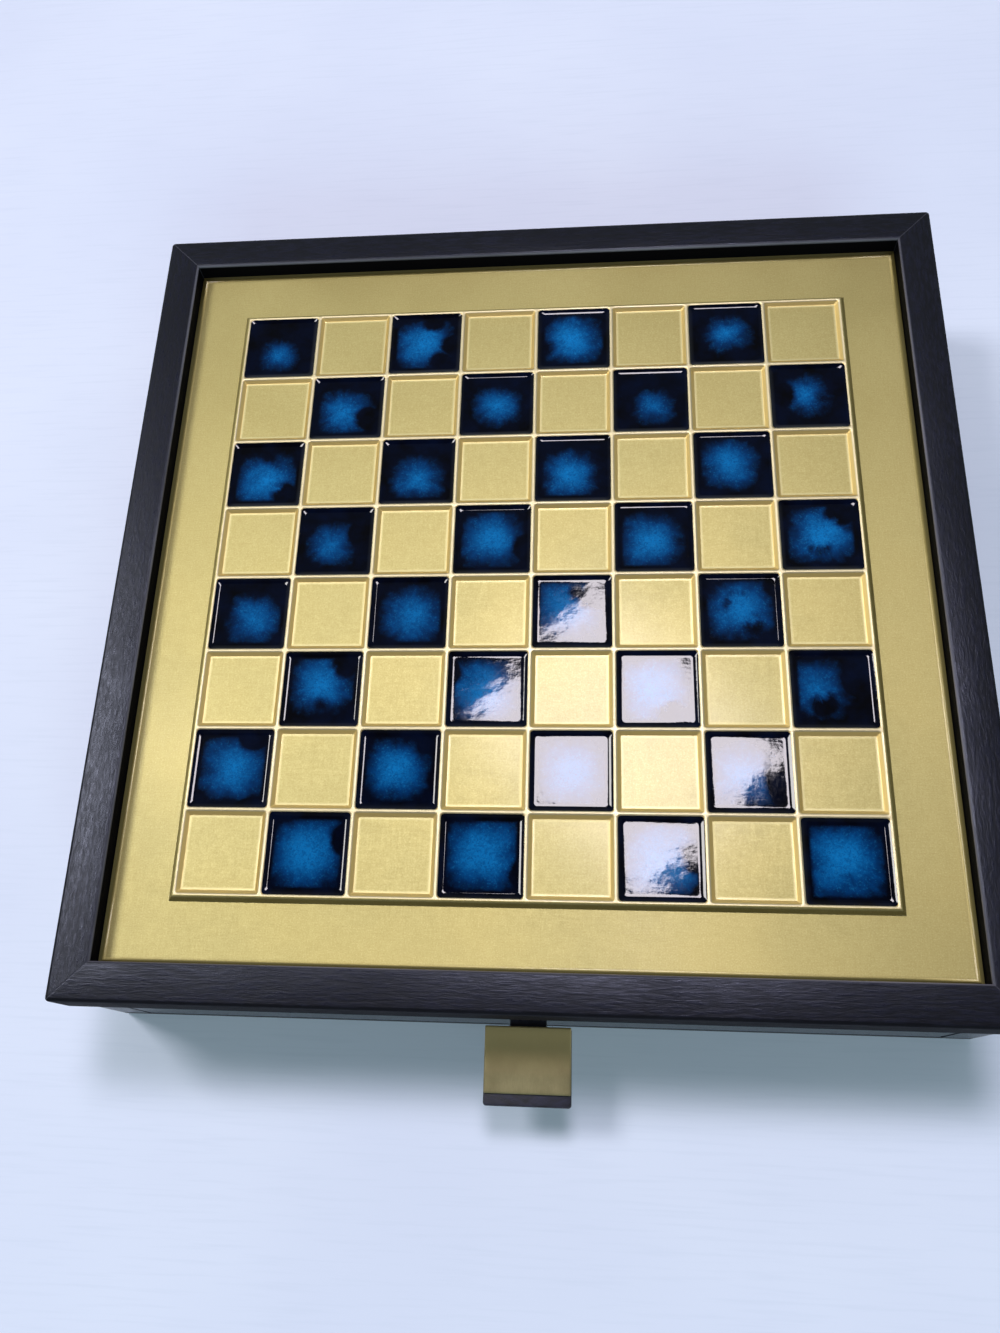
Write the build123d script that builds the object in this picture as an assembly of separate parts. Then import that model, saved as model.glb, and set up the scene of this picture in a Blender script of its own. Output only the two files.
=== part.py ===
from build123d import *
import os

# Games board on a shallow case, with a drawer at the front and one at the back.
# Millimetres. The origin is the middle of the underside, +Z is up, and the
# front drawer pulls out towards -Y.

# ---------------------------------------------------------------- frame
FRAME_SIZE = 282.0          # outside of the mitred frame, both ways
FRAME_WIDTH = 12.0          # width of a bar, seen from above
FRAME_HEIGHT = 16.0         # height of a bar
FRAME_INNER_ROUND = 0.9     # round along the inner top edge
FRAME_OUTER_ROUND = 1.2     # round along the outer top edge
FRAME_FOOT_ROUND = 0.6      # round along the outer lower edge
FRAME_OVERHANG = 1.5        # how far the frame stands out past the case

# ---------------------------------------------------------------- board
SQUARES = 8                 # squares along each side
PITCH = 27.0                # from one square to the next
RIDGE_WIDTH = 1.1           # flat top of the ridges between the squares
PAN_RUN = 1.3               # width of the slope round a sunk square
PAN_DEPTH = 1.1             # a square's floor below the ridges
GRID_RISE = 1.8             # the ridges above the plain border
GRID_RUN = 1.3              # width of the slope round the whole grid
PLATE_RECESS = 7.4          # the border below the top of the frame
PLATE_THICK = 0.8           # sheet metal of the plate
PLATE_GAP = 0.2             # between the plate and the frame, all round
ENAMEL_THICK = 0.35         # coat of enamel on a square's floor
ENAMEL_WALL = 0.40          # the same coat on its slopes, measured level

# ---------------------------------------------------------------- case
FELT_THICK = 1.2            # felt under the case
FELT_INSET = 3.0            # felt edge inside the edge of the case
BOTTOM_THICK = 4.0          # bottom panel
BAY_HEIGHT = 34.8           # clear height for the drawers
TOP_THICK = 4.0             # panel above the drawers
TOP_INSET = 1.0             # its edges behind the case walls: a shadow groove
WALL_THICK = 10.0           # left and right walls
PARTITION_THICK = 8.0       # wall across the middle, between the drawers
CASE_ROUND = 0.6            # round on the upright corners of the case

# ---------------------------------------------------------------- drawers
FACE_THICK = 6.0            # drawer face
FACE_SIDE_GAP = 0.6         # face to case wall
FACE_LOW_GAP = 0.5          # face to bottom panel
FACE_TOP_GAP = 0.6          # face to top panel
FACE_ROUND = 0.8            # round on the face's outer edges
BOX_SIDE_GAP = 0.8          # drawer side to case wall
BOX_LOW_GAP = 0.3           # drawer bottom to bottom panel
BOX_END_GAP = 1.0           # drawer back to partition
BOARD_THICK = 5.0           # drawer sides, inner front and back
BOX_BOTTOM_THICK = 3.0      # drawer bottom
BOX_TOP_GAP = 3.0           # drawer sides to top panel
LINING_THICK = 1.2          # velvet pad on the drawer floor
LINING_GAP = 0.2            # pad to the boards round it
TROUGHS = 8                 # spaces side by side in a drawer
RIB_THICK = 3.0             # padded rib between two troughs
RIB_DROP = 6.3              # top of a rib below the top of the drawer sides
RIB_ROUND = 1.3             # round along the top of a rib
RIB_GAP = 0.1               # end of a rib to the board there

# ---------------------------------------------------------------- pull
STRAP_THICK = 2.0           # leather of the pull
HEAD_WIDTH = 27.0           # wide outer part of the pull
HEAD_LENGTH = 23.4          # the same, front to back
HEAD_ROUND = 1.0            # its corners, seen from above
NECK_WIDTH = 11.4           # narrow part that goes through the face
NECK_LENGTH = 1.9           # neck that shows between the face and the head
TAIL_DROP = 12.0            # end of the strap, turned down behind the face
SLOT_GAP = 0.15             # slot and recess round the strap, each side
LIP_LENGTH = 3.6            # bare leather past the metal plate
TAB_THICK = 1.2             # metal plate
TAB_ROUND = 0.5             # round along its upper edges
TAB_INSET = 0.1             # plate's sides inside the sides of the head
PRONG_WIDTH = 3.0           # two prongs hold the plate through the leather
PRONG_THICK = 0.6           # metal of a prong
PRONG_TURN = 4.0            # turned-in end of a prong under the leather
PRONG_INSET = 2.5           # prong from the side of the plate

# ---------------------------------------------------------------- screws
SCREW_HEAD_RADIUS = 3.0     # countersunk wood screws
SCREW_SHANK_RADIUS = 1.5
SCREW_HEAD_DEPTH = 1.8
CASE_SCREW_BITE = 14.0      # screw in a wall, past the bottom panel
CASE_SCREW_END = 28.0       # outer screws of a wall from its ends
PARTITION_SCREW_END = 60.0  # screws of the partition from its ends
FACE_SCREW_BITE = 4.0       # screw in the drawer face, past the inner front
FACE_SCREW_END = 44.0       # screws of a face from the inner front's ends

# ---------------------------------------------------------------- worked out
frame_half = FRAME_SIZE / 2
opening_half = frame_half - FRAME_WIDTH
case_half = frame_half - FRAME_OVERHANG
bay_half = case_half - WALL_THICK
plate_half = opening_half - PLATE_GAP
grid_half = SQUARES * PITCH / 2

z_bottom = FELT_THICK
z_bay = z_bottom + BOTTOM_THICK
z_ceiling = z_bay + BAY_HEIGHT
z_frame = z_ceiling + TOP_THICK
z_top = z_frame + FRAME_HEIGHT
z_border = z_top - PLATE_RECESS
z_ridge = z_border + GRID_RISE

y_face = -case_half
y_box = y_face + FACE_THICK
y_box_end = -PARTITION_THICK / 2 - BOX_END_GAP
box_half = bay_half - BOX_SIDE_GAP
inside_half = box_half - BOARD_THICK
y_inside = y_box + BOARD_THICK
y_inside_end = y_box_end - BOARD_THICK
z_box = z_bay + BOX_LOW_GAP
z_floor = z_box + BOX_BOTTOM_THICK
z_pad = z_floor + LINING_THICK
z_box_top = z_ceiling - BOX_TOP_GAP

face_half = bay_half - FACE_SIDE_GAP
z_face = z_bay + FACE_LOW_GAP
z_face_top = z_ceiling - FACE_TOP_GAP
z_strap = (z_face + z_face_top - STRAP_THICK) / 2
z_strap_top = z_strap + STRAP_THICK
y_head = y_face - NECK_LENGTH
y_tail = y_box - STRAP_THICK
tab_length = HEAD_LENGTH - LIP_LENGTH
tab_half = HEAD_WIDTH / 2 - TAB_INSET


def block(x0, x1, y0, y1, z0, z1):
    """A box from its lowest to its highest corner."""
    centre = ((x0 + x1) / 2, (y0 + y1) / 2, (z0 + z1) / 2)
    return Pos(*centre) * Box(x1 - x0, y1 - y0, z1 - z0)


def frustum(low_half, high_half, z0, z1):
    """A square block on the Z axis whose sides slope evenly."""
    low = Plane.XY.offset(z0) * Rectangle(2 * low_half, 2 * low_half)
    high = Plane.XY.offset(z1) * Rectangle(2 * high_half, 2 * high_half)
    return loft([low.face(), high.face()])


def screw(length):
    """A countersunk screw, head up at the origin, shank down."""
    head = Cone(SCREW_SHANK_RADIUS, SCREW_HEAD_RADIUS, SCREW_HEAD_DEPTH)
    shank = Cylinder(SCREW_SHANK_RADIUS, length - SCREW_HEAD_DEPTH)
    shank_z = -(length + SCREW_HEAD_DEPTH) / 2
    return Pos(0, 0, -SCREW_HEAD_DEPTH / 2) * head + Pos(0, 0, shank_z) * shank


def square_centres(enamelled):
    """Centres of the enamelled squares, or of the bare ones."""
    places = []
    for column in range(SQUARES):
        for row in range(SQUARES):
            if ((column + row) % 2 == 1) == enamelled:
                x = (column + 0.5) * PITCH - grid_half
                y = (row + 0.5) * PITCH - grid_half
                places.append((x, y))
    return places


# ---------------------------------------------------------------- frame bars
def bar_section():
    """Section of the front bar, with its rounded edges."""
    y0, y1 = -frame_half, -opening_half
    corners = [(y0, z_frame), (y1, z_frame), (y1, z_top), (y0, z_top)]
    section = Plane.YZ * make_face(Polyline(corners, close=True))
    rounds = [
        ((0, y1, z_top), FRAME_INNER_ROUND),
        ((0, y0, z_top), FRAME_OUTER_ROUND),
        ((0, y0, z_frame), FRAME_FOOT_ROUND),
    ]
    for place, radius in rounds:
        section = fillet(section.vertices().sort_by_distance(place)[0], radius)
    return section


def frame_bar():
    """The front bar, with its ends cut to a mitre."""
    bar = extrude(bar_section(), frame_half, both=True)
    corners = [
        (-frame_half, -frame_half),
        (frame_half, -frame_half),
        (opening_half, -opening_half),
        (-opening_half, -opening_half),
    ]
    outline = make_face(Polyline(corners, close=True))
    mitred = extrude(Plane.XY.offset(z_frame) * outline, FRAME_HEIGHT)
    return bar & mitred


# ---------------------------------------------------------------- board
def pan():
    """The space of one sunk square, centred on the Z axis."""
    rim_half = (PITCH - RIDGE_WIDTH) / 2
    return frustum(rim_half - PAN_RUN, rim_half, z_ridge - PAN_DEPTH, z_ridge)


def board_plate():
    """Pressed sheet: plain border, raised grid and sunk squares."""
    z_sheet = z_border - PLATE_THICK
    border = block(-plate_half, plate_half, -plate_half, plate_half, z_sheet, z_border)
    ridge_half = grid_half + RIDGE_WIDTH / 2
    raised = frustum(ridge_half + GRID_RUN, ridge_half, z_border, z_ridge)
    z_hollow = z_ridge - PAN_DEPTH - PLATE_THICK
    hollow_half = grid_half - RIDGE_WIDTH / 2
    hollow = block(-hollow_half, hollow_half, -hollow_half, hollow_half, z_sheet, z_hollow)
    plate = border + raised - hollow
    pans = [Pos(x, y, 0) * pan() for x, y in square_centres(True) + square_centres(False)]
    return plate - pans


def enamel_squares():
    """A thin coat on the floor and slopes of every other square."""
    rim_half = (PITCH - RIDGE_WIDTH) / 2
    z_floor_coat = z_ridge - PAN_DEPTH + ENAMEL_THICK
    floor_half = rim_half - PAN_RUN * (z_ridge - z_floor_coat) / PAN_DEPTH
    inner = frustum(floor_half - ENAMEL_WALL, rim_half - ENAMEL_WALL, z_floor_coat, z_ridge)
    coat = pan() - inner
    return Compound([Pos(x, y, 0) * coat.solid() for x, y in square_centres(True)])


def board_core():
    """Board that fills the frame under the plate."""
    z_sheet = z_border - PLATE_THICK
    return block(-plate_half, plate_half, -plate_half, plate_half, z_frame, z_sheet)


# ---------------------------------------------------------------- case
def case_screw_places():
    """Screws up through the bottom panel into the walls and the partition."""
    wall_x = case_half - WALL_THICK / 2
    end_y = case_half - CASE_SCREW_END
    places = [(side * wall_x, y) for side in (-1, 1) for y in (-end_y, 0, end_y)]
    places += [(side * (bay_half - PARTITION_SCREW_END), 0) for side in (-1, 1)]
    return places


def case_screws():
    one = Rot(180, 0, 0) * screw(BOTTOM_THICK + CASE_SCREW_BITE)
    return Compound([Pos(x, y, z_bottom) * one.solid() for x, y in case_screw_places()])


def bottom_panel():
    panel = block(-case_half, case_half, -case_half, case_half, z_bottom, z_bay)
    panel = fillet(panel.edges().filter_by(Axis.Z), CASE_ROUND)
    return panel - case_screws()


def base_felt():
    half = case_half - FELT_INSET
    return block(-half, half, -half, half, 0, FELT_THICK)


def side_wall(side):
    """The right wall for 1, the left wall for -1."""
    x0, x1 = sorted((side * bay_half, side * case_half))
    wall = block(x0, x1, -case_half, case_half, z_bay, z_ceiling)
    upright = wall.edges().filter_by(Axis.Z)
    outer = upright.sort_by_distance((side * frame_half, 0, z_bay))[:2]
    return fillet(outer, CASE_ROUND) - case_screws()


def centre_partition():
    half = PARTITION_THICK / 2
    return block(-bay_half, bay_half, -half, half, z_bay, z_ceiling) - case_screws()


def top_panel():
    half = case_half - TOP_INSET
    return block(-half, half, -half, half, z_ceiling, z_frame)


# ---------------------------------------------------------------- pull
def pull_strap():
    """Leather pull: wide head, narrow neck, and a tail behind the face."""
    head = block(
        -HEAD_WIDTH / 2, HEAD_WIDTH / 2, y_head - HEAD_LENGTH, y_head, z_strap, z_strap_top
    )
    head = fillet(head.edges().filter_by(Axis.Z), HEAD_ROUND)
    neck_half = NECK_WIDTH / 2
    neck = block(-neck_half, neck_half, y_head, y_box, z_strap, z_strap_top)
    tail = block(-neck_half, neck_half, y_tail, y_box, z_strap_top - TAIL_DROP, z_strap)
    return head + neck + tail - prongs()


def strap_space():
    """Room that the neck and tail need in the drawer face."""
    half = NECK_WIDTH / 2 + SLOT_GAP
    z0 = z_strap - SLOT_GAP
    z1 = z_strap_top + SLOT_GAP
    slot = block(-half, half, y_face, y_box, z0, z1)
    recess = block(-half, half, y_tail, y_box, z_strap_top - TAIL_DROP - SLOT_GAP, z1)
    return slot + recess


def prongs():
    """Two prongs, down through the leather and turned in under it."""
    y0 = y_head - (tab_length + PRONG_WIDTH) / 2
    y1 = y0 + PRONG_WIDTH
    outer = tab_half - PRONG_INSET
    leg = block(outer - PRONG_THICK, outer, y0, y1, z_strap - PRONG_THICK, z_strap_top)
    turn = block(outer - PRONG_TURN, outer, y0, y1, z_strap - PRONG_THICK, z_strap)
    right = leg + turn
    return right + mirror(right, about=Plane.YZ)


def pull_tab():
    """Bare metal plate on the head of the pull, with its two prongs."""
    z_tab = z_strap_top + TAB_THICK
    plate = block(-tab_half, tab_half, y_head - tab_length, y_head, z_strap_top, z_tab)
    plate = fillet(plate.faces().sort_by(Axis.Z)[-1].edges(), TAB_ROUND)
    return plate + prongs()


# ---------------------------------------------------------------- drawer
def face_screws():
    """Two screws from inside the drawer, through its front, into the face."""
    z_screw = (z_floor + z_box_top) / 2
    screw_x = inside_half - FACE_SCREW_END
    one = Rot(-90, 0, 0) * screw(BOARD_THICK + FACE_SCREW_BITE)
    places = [(side * screw_x, y_inside, z_screw) for side in (-1, 1)]
    return Compound([Pos(*place) * one.solid() for place in places])


def drawer_face():
    face = block(-face_half, face_half, y_face, y_box, z_face, z_face_top)
    face = fillet(face.faces().sort_by(Axis.Y)[0].edges(), FACE_ROUND)
    return face - strap_space() - face_screws()


def drawer_inner_front():
    front = block(-inside_half, inside_half, y_box, y_inside, z_floor, z_box_top)
    return front - face_screws()


def drawer_back():
    return block(-inside_half, inside_half, y_inside_end, y_box_end, z_floor, z_box_top)


def drawer_side(side):
    """The right side for 1, the left side for -1."""
    x0, x1 = sorted((side * inside_half, side * box_half))
    return block(x0, x1, y_box, y_box_end, z_floor, z_box_top)


def drawer_bottom():
    return block(-box_half, box_half, y_box, y_box_end, z_box, z_floor)


def drawer_lining():
    half = inside_half - LINING_GAP
    return block(-half, half, y_inside + LINING_GAP, y_inside_end - LINING_GAP, z_floor, z_pad)


def drawer_ribs():
    """Padded ribs that part the drawer into equal troughs."""
    step = 2 * inside_half / TROUGHS
    half = RIB_THICK / 2
    z_rib = z_box_top - RIB_DROP
    rib = block(-half, half, y_inside + RIB_GAP, y_inside_end - RIB_GAP, z_pad, z_rib)
    rib = fillet(rib.edges().filter_by(Axis.Y).sort_by(Axis.Z)[-2:], RIB_ROUND)
    return Compound([Pos(i * step - inside_half, 0, 0) * rib.solid() for i in range(1, TROUGHS)])


def drawer_pieces():
    """Every piece of the front drawer, by the last part of its name."""
    return {
        "drawer_face": drawer_face(),
        "drawer_inner_front": drawer_inner_front(),
        "drawer_left_side": drawer_side(-1),
        "drawer_right_side": drawer_side(1),
        "drawer_back": drawer_back(),
        "drawer_bottom": drawer_bottom(),
        "drawer_lining": drawer_lining(),
        "drawer_ribs": drawer_ribs(),
        "face_screws": face_screws(),
        "pull_strap": pull_strap(),
        "pull_tab": pull_tab(),
    }


# ---------------------------------------------------------------- whole
def pieces():
    """Every piece of the part, by its node's name."""
    bar = frame_bar()
    made = {
        "frame_front": bar,
        "frame_right": Rot(0, 0, 90) * bar,
        "frame_back": Rot(0, 0, 180) * bar,
        "frame_left": Rot(0, 0, 270) * bar,
        "board_plate": board_plate(),
        "enamel_squares": enamel_squares(),
        "board_core": board_core(),
        "top_panel": top_panel(),
        "side_wall_left": side_wall(-1),
        "side_wall_right": side_wall(1),
        "centre_partition": centre_partition(),
        "bottom_panel": bottom_panel(),
        "base_felt": base_felt(),
        "case_screws": case_screws(),
    }
    for name, piece in drawer_pieces().items():
        made["front_" + name] = piece
        made["back_" + name] = Rot(0, 0, 180) * piece
    return made


os.makedirs("parts", exist_ok=True)
for node, piece in pieces().items():
    export_step(piece, "parts/" + node + ".step")
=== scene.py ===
import math
import random

import bmesh
import bpy
from mathutils import Euler, Matrix, Vector, noise


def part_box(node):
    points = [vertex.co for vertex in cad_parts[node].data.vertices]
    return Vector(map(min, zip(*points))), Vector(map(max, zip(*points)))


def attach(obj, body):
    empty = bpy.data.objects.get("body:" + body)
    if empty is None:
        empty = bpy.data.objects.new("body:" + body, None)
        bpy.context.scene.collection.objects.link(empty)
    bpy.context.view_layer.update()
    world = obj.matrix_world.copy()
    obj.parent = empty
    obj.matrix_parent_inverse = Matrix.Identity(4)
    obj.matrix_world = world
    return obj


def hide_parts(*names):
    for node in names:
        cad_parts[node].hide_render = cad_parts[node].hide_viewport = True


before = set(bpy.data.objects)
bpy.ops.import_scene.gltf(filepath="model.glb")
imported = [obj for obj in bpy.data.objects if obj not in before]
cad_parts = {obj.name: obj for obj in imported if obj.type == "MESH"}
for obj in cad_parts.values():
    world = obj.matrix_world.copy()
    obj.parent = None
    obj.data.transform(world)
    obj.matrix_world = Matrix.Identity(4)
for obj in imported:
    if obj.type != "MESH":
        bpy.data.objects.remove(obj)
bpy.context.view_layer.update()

# The looks of a games board on a shallow case with a drawer at the front and
# one at the back. Metres, +Z up, the front drawer pulls out towards -Y.
# Sizes are named here in millimetres and turned into metres by MM.

MM = 0.001
collection = bpy.context.scene.collection

# ---------------------------------------------------------------- sizes
# plate
SQUARES = 8              # squares along each side
PITCH = 27.0             # from one square to the next
BORDER_BELOW = 1.8       # plain border below the ridges
SHEET = 0.8              # metal of the plate
CREST_ROUND = 1.0        # round along the top of a ridge
FOOT_ROUND = 0.12        # how softly a slope runs out
PAN_DEPTH = 1.1          # a square's floor below the ridges
PAN_SLOPE = 0.78         # fall per millimetre of the slope round a square
PAN_CORNER = 1.45        # corners of a square along the middle of its ridges, seen from above
PAN_CORNER_LEAST = 0.5   # corners of its floor
GRID_SLOPE = 1.45        # fall per millimetre of the slope round the whole grid
EDGE_RISE = 1.2          # edge of the sheet, turned up along the frame
EDGE_RUN = 1.9           # width of that turn
EDGE_CURL = 2.2          # power of its curve, above 1 for a soft start
EDGE_CUT = 0.08          # blunt cut along the very edge

# enamel
COAT_RIM = 0.6           # outline of a coat, from the middle of a ridge
COAT_FOOT = 2.3          # where its face is level
COAT_FLOOR = 0.35        # its thickness on the floor of a square
COAT_CORNER = 1.2        # its corners, seen from above
COAT_SEAT = 0.03         # its underside above the metal
COAT_RIM_SEAT = 0.02     # its rim above the metal
COAT_DIP = 0.015         # dip of its face between the middle and the edge
MENISCUS = 1.5           # power of its rise to the rim, above 1 for a hollow one

# frame
CORNER_ROUND = 1.2       # outer corners of the frame, seen from above
BAR_OUT_ROUND = 1.2      # outer top edge of a bar
BAR_IN_ROUND = 0.9       # inner top edge
BAR_FOOT_ROUND = 0.6     # outer bottom edge
BAR_OVER_BORDER = 0.3    # foot of the inner wall above the border
BAR_WAVE = 0.05          # unevenness of the wrap on top

# pull
NECK_WIDTH = 11.4        # strap where it leaves the drawer
HEAD_LENGTH = 23.4       # wide part of the strap, front to back
HEAD_ROUND = 1.0         # its corners, seen from above
STRAP_THICK = 2.0
TAIL_ROUND = 0.4         # edges of the tail behind the drawer's face
TAB_LENGTH = 19.8        # metal plate on the strap, front to back
TAB_THICK = 1.2
TAB_CORNER = 0.5
PRONG_LENGTH = 4.0       # the two prongs that hold the plate, under the strap
PRONG_WIDTH = 3.0
PRONG_THICK = 0.6
PRONG_INSET = 2.5        # from the plate's side

# padding
TROUGHS = 8              # spaces between the ribs of a drawer
RIB_THICK = 3.0
RIB_SLIMMER = 0.28       # share of its thickness that a rib loses at its ends
PAD_SEAT = 0.02          # underside of the floor pad above its board
PAD_LOW = 0.3            # its face under the top of its solid
PAD_ROLL = 0.45          # how much it falls along its edges
PAD_ROLL_RUN = 0.8       # and how far in that reaches
PAD_CROWN = 0.18         # how much it rises in the middle of a trough
PAD_RIPPLE = 0.10        # its unevenness

# ---------------------------------------------------------------- places
_, plate_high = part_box("board_plate")
bar_low, bar_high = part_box("frame_front")
frame_half = bar_high.x
opening_half = -bar_high.y
plate_half = plate_high.x
grid_half = SQUARES * PITCH / 2 * MM
z_ridge = plate_high.z
z_border = z_ridge - BORDER_BELOW * MM
z_sheet = z_border - SHEET * MM


# ---------------------------------------------------------------- mesh tools
def finished(name, bm, material, body, slot, *nodes, sharp=40):
    """Turns a bmesh into a shaded piece that rides on a body in place of some nodes."""
    bmesh.ops.recalc_face_normals(bm, faces=bm.faces)
    mesh = bpy.data.meshes.new(name)
    bm.to_mesh(mesh)
    bm.free()
    mesh.shade_smooth()
    mesh.set_sharp_from_angle(angle=math.radians(sharp))
    mesh.materials.append(material)
    piece = bpy.data.objects.new(name, mesh)
    collection.objects.link(piece)
    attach(piece, body)
    if nodes:
        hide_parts(*nodes)
    return piece


def ring(half_x, half_y, radius, z, centre=(0.0, 0.0), steps=6, wrap=0.0):
    """Points round a rounded rectangle. With radius 0 the corner stays sharp and
    its points are spread over wrap, so that rings of both kinds join up."""
    points = []
    reach = radius or wrap
    for quarter in range(4):
        side_x = (1, -1, -1, 1)[quarter]
        side_y = (1, 1, -1, -1)[quarter]
        for step in range(steps + 1):
            angle = math.radians(90 * quarter + 90 * step / steps)
            dx, dy = math.cos(angle), math.sin(angle)
            if not radius:
                longest = max(abs(dx), abs(dy))
                dx, dy = dx / longest, dy / longest
            x = centre[0] + side_x * (half_x - reach) + dx * reach
            y = centre[1] + side_y * (half_y - reach) + dy * reach
            points.append(Vector((x, y, z)))
    return points


def band(bm, lower, upper):
    """Quads between two closed rows of equally many vertices."""
    count = len(lower)
    for i in range(count):
        j = (i + 1) % count
        bm.faces.new((lower[i], lower[j], upper[j], upper[i]))


def loft(bm, rings, close_start=False, close_end=False):
    """Joins rings of equally many points with quads, and caps the ends if asked."""
    rows = [[bm.verts.new(point) for point in points] for points in rings]
    for lower, upper in zip(rows, rows[1:]):
        band(bm, lower, upper)
    if close_start:
        bm.faces.new(list(reversed(rows[0])))
    if close_end:
        bm.faces.new(rows[-1])
    return rows


def turned_about(bm, degrees):
    """Turns a mesh about the Z axis, to the bar or drawer on another side."""
    bmesh.ops.rotate(bm, verts=bm.verts, matrix=Matrix.Rotation(math.radians(degrees), 3, "Z"))


# ---------------------------------------------------------------- node tools
class Surface:
    """A material on one Principled shader, with short calls for its nodes."""

    def __init__(self, name, **sockets):
        self.material = bpy.data.materials.new(name)
        self.material.use_nodes = True
        self.tree = self.material.node_tree
        self.shader = self.tree.nodes["Principled BSDF"]
        for socket, value in sockets.items():
            self.shader.inputs[socket.replace("_", " ")].default_value = value
        self.place = self.tree.nodes.new("ShaderNodeTexCoord").outputs["Object"]

    def set(self, socket, value):
        """Links a socket to another one, or gives it a value."""
        if isinstance(value, bpy.types.NodeSocket):
            self.tree.links.new(value, socket)
        else:
            socket.default_value = value

    def node(self, kind, inputs=(), **settings):
        """A new node with its inputs linked or filled in."""
        made = self.tree.nodes.new("ShaderNode" + kind)
        for key, value in settings.items():
            setattr(made, key, value)
        for key, value in dict(inputs).items():
            self.set(made.inputs[key], value)
        return made

    def math(self, operation, *values):
        """The result of a Math node."""
        made = self.node("Math", operation=operation)
        for i, value in enumerate(values):
            self.set(made.inputs[i], value)
        return made.outputs[0]

    def parts(self, vector):
        """The X, Y and Z of a vector."""
        return self.node("SeparateXYZ", {"Vector": vector}).outputs

    def farther(self, x, y):
        """The larger distance from 0 of the two: one value of it makes a square."""
        return self.math("MAXIMUM", self.math("ABSOLUTE", x), self.math("ABSOLUTE", y))

    def in_square(self):
        """Place within a square of the grid, -0.5 to 0.5 each way from its middle."""
        vector = self.place
        for operation, value in (("MULTIPLY", 1 / (PITCH * MM)), ("FRACTION", 0.0), ("SUBTRACT", 0.5)):
            made = self.node("VectorMath", {0: vector, 1: (value,) * 3}, operation=operation)
            vector = made.outputs[0]
        return self.parts(vector)

    def stretched(self, x, y, z):
        """Places in metres, scaled by these numbers: a pattern gets longer where one is small."""
        made = self.node("Mapping", {"Vector": self.place, "Scale": (x, y, z)})
        return made.outputs[0]

    def noise(self, size, place=None, detail=4.0, rough=0.5, twist=0.0):
        """Noise with spots of about size, in millimetres."""
        made = self.node("TexNoise", {
            "Vector": place or self.place, "Scale": 1 / (size * MM), "Detail": detail,
            "Roughness": rough, "Distortion": twist,
        })
        return made.outputs[0]

    def cells(self, size, place=None, feature="F1", smooth=0.0):
        """Distance to the middle of round cells of about size, in millimetres."""
        made = self.node("TexVoronoi", feature=feature)
        self.set(made.inputs["Vector"], place or self.place)
        self.set(made.inputs["Scale"], 1 / (size * MM))
        if smooth:
            self.set(made.inputs["Smoothness"], smooth)
        return made.outputs["Distance"]

    def range(self, value, low, high, to_low=0.0, to_high=1.0, smooth=False):
        """Takes low to high onto to_low to to_high, and holds it there outside them."""
        kind = "SMOOTHSTEP" if smooth else "LINEAR"
        made = self.node("MapRange", interpolation_type=kind)
        for key, number in (("Value", value), ("From Min", low), ("From Max", high),
                            ("To Min", to_low), ("To Max", to_high)):
            self.set(made.inputs[key], number)
        return made.outputs[0]

    def mix(self, factor, a, b):
        """Colour a where factor is 0 and colour b where it is 1."""
        made = self.node("Mix", data_type="RGBA")
        self.set(made.inputs["Factor"], factor)
        self.set(made.inputs[6], a)
        self.set(made.inputs[7], b)
        return made.outputs[2]

    def bump(self, height, depth, after=None):
        """Relief of this depth in millimetres on top of an earlier one."""
        made = self.node("Bump", {"Height": height, "Strength": 1.0, "Distance": depth * MM})
        if after:
            self.set(made.inputs["Normal"], after)
        return made.outputs[0]

    def finish(self, color, roughness=None, normal=None):
        """Links the shader's main sockets and hands over the material."""
        for socket, value in (("Base Color", color), ("Roughness", roughness), ("Normal", normal)):
            if value is not None:
                self.set(self.shader.inputs[socket], value)
        return self.material


def rgb(red, green, blue):
    """A colour as a photo shows it, 0 to 255, in the shader's own scale."""
    made = []
    for part in (red, green, blue):
        part = part / 255
        made.append(part / 12.92 if part <= 0.04045 else ((part + 0.055) / 1.055) ** 2.4)
    return (*made, 1.0)


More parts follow.
